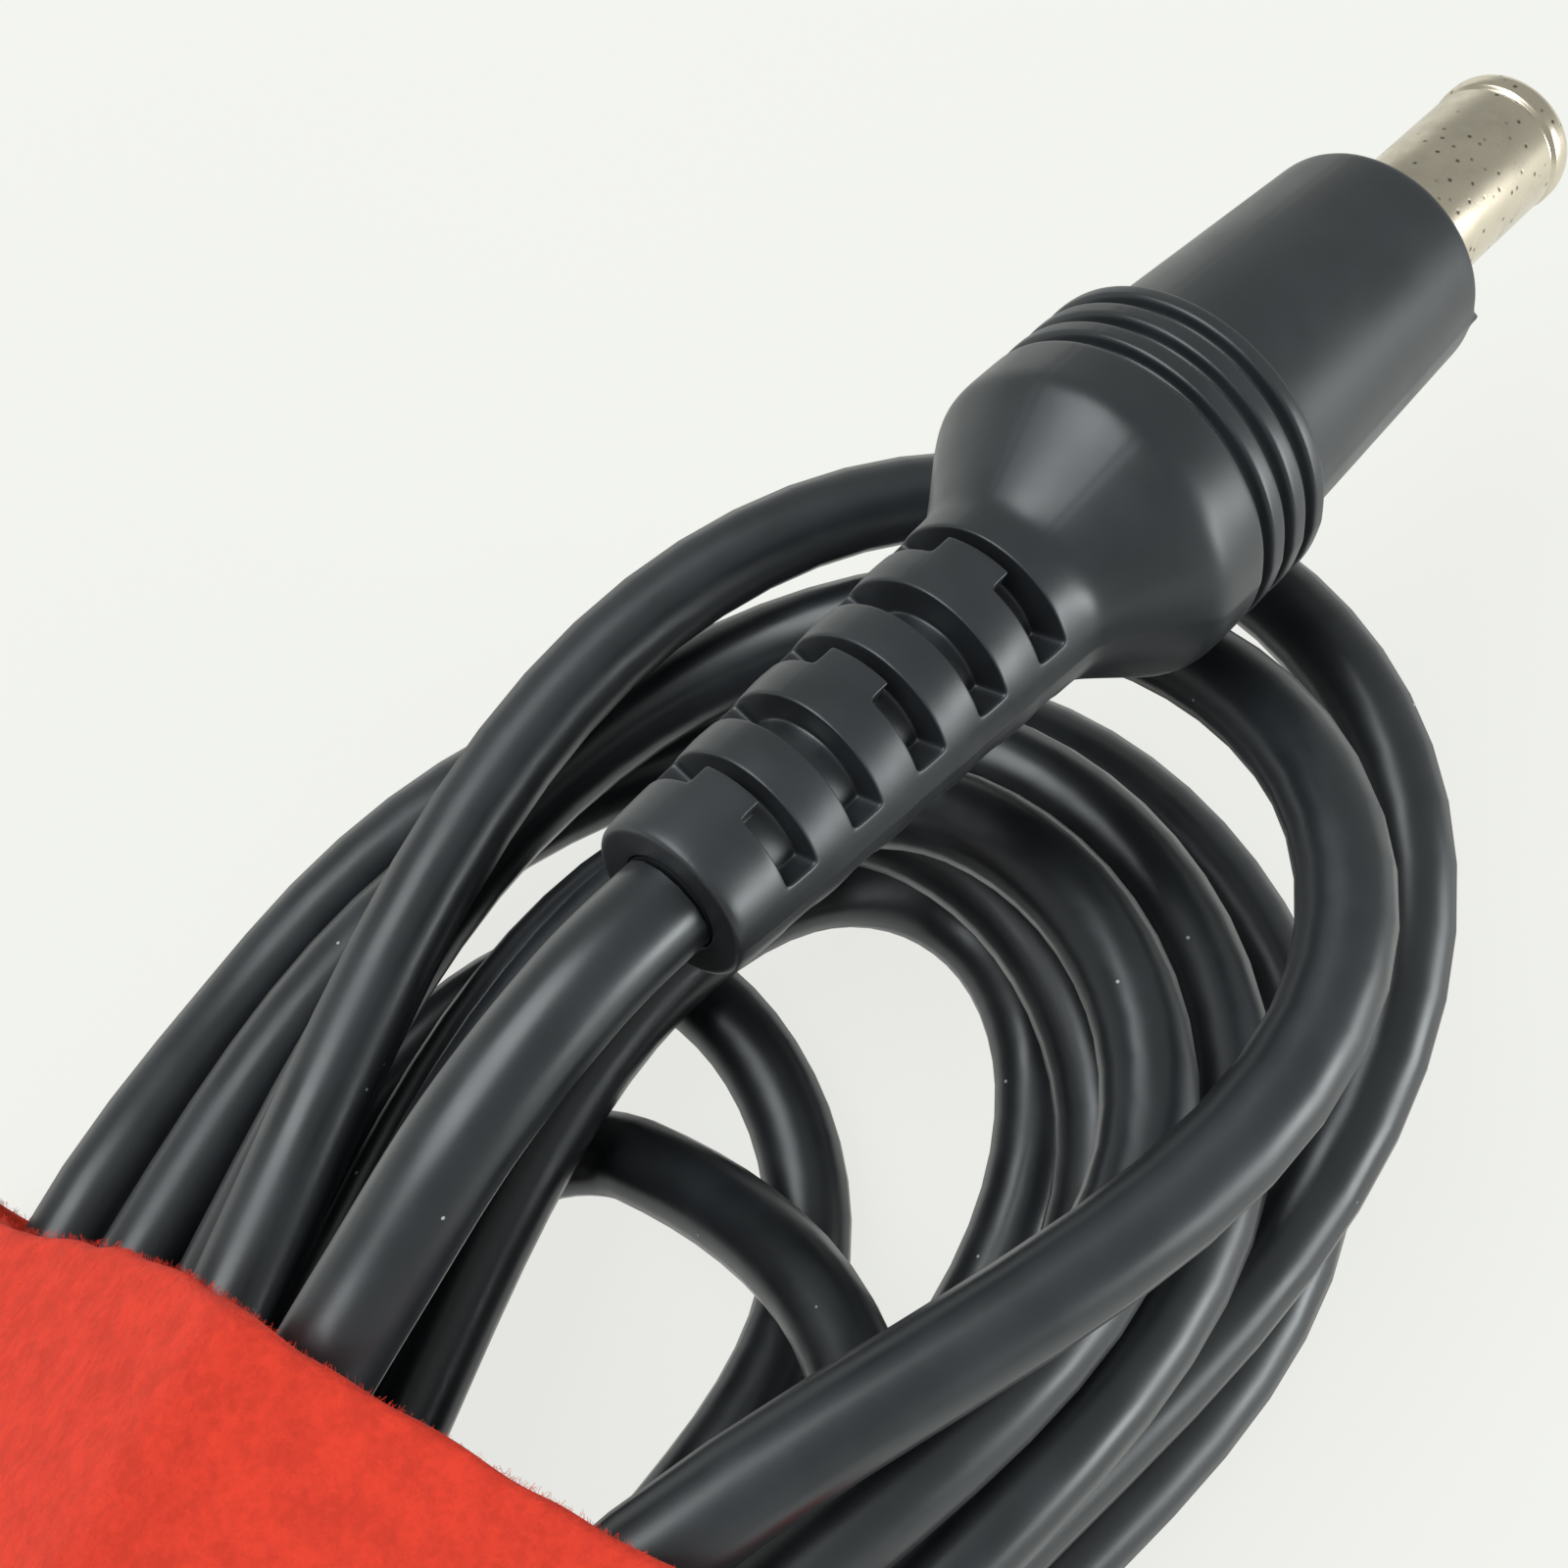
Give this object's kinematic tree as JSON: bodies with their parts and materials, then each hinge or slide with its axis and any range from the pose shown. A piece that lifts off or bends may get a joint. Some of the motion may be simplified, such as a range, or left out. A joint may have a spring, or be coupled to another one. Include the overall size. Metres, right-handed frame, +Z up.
{
  "type": "coiled power lead",
  "caption": "Thin round lead with a straight moulded barrel plug and strain relief, wound in an oval hank that a hook-and-loop wrap holds at its waist.",
  "frame": {"origin": "centre of the wrap's flat underside, on the surface that the hank lies on", "axes": "+X along the hank to the end where the plug lies, +Y across the hank away from the wrap's tab, +Z up"},
  "size_m": [0.1246, 0.0479, 0.0292],
  "materials": {
    "black_moulding": "satin soft PVC, slightly dusty",
    "black_jacket": "satin soft PVC",
    "inner_mould": "hard inner moulding",
    "dark_insulator": "smooth",
    "pale_insulator": "pressed board washer",
    "plated_metal": "nickel plate with fine pits",
    "solder": "dull tin",
    "copper": "stranded copper",
    "red_core": "satin core insulation",
    "black_core": "satin core insulation",
    "red_loop_fabric": "brushed loop pile",
    "red_hooks": "moulded hooks"
  },
  "bodies": {
    "lead": {"barrel_sleeve": "plated_metal", "tip_insulator": "dark_insulator", "centre_contact": "plated_metal", "insulating_washer": "pale_insulator", "centre_solder_joint": "solder", "sleeve_solder_joint": "solder", "inner_core_mould": "inner_mould", "plug_overmould": "black_moulding", "lead_root": "black_jacket", "positive_core": "red_core", "positive_conductor": "copper", "negative_core": "black_core", "negative_conductor": "copper", "lead_tail": "black_jacket", "lead_hank": "black_jacket", "positive_core_end": "red_core", "positive_wire_end": "solder", "negative_core_end": "black_core", "negative_wire_end": "solder", "wrap_band": "red_loop_fabric"},
    "strap_tab": {"wrap_tab": "red_loop_fabric", "hook_patch": "red_hooks"}
  },
  "joints": [
    {"name": "tab_peel", "type": "hinge", "parent": "lead", "child": "strap_tab", "pos_m": [0, -0.02223, 0.01455], "axis": [-1, 0, 0], "range_deg": [0, 75]}
  ]
}
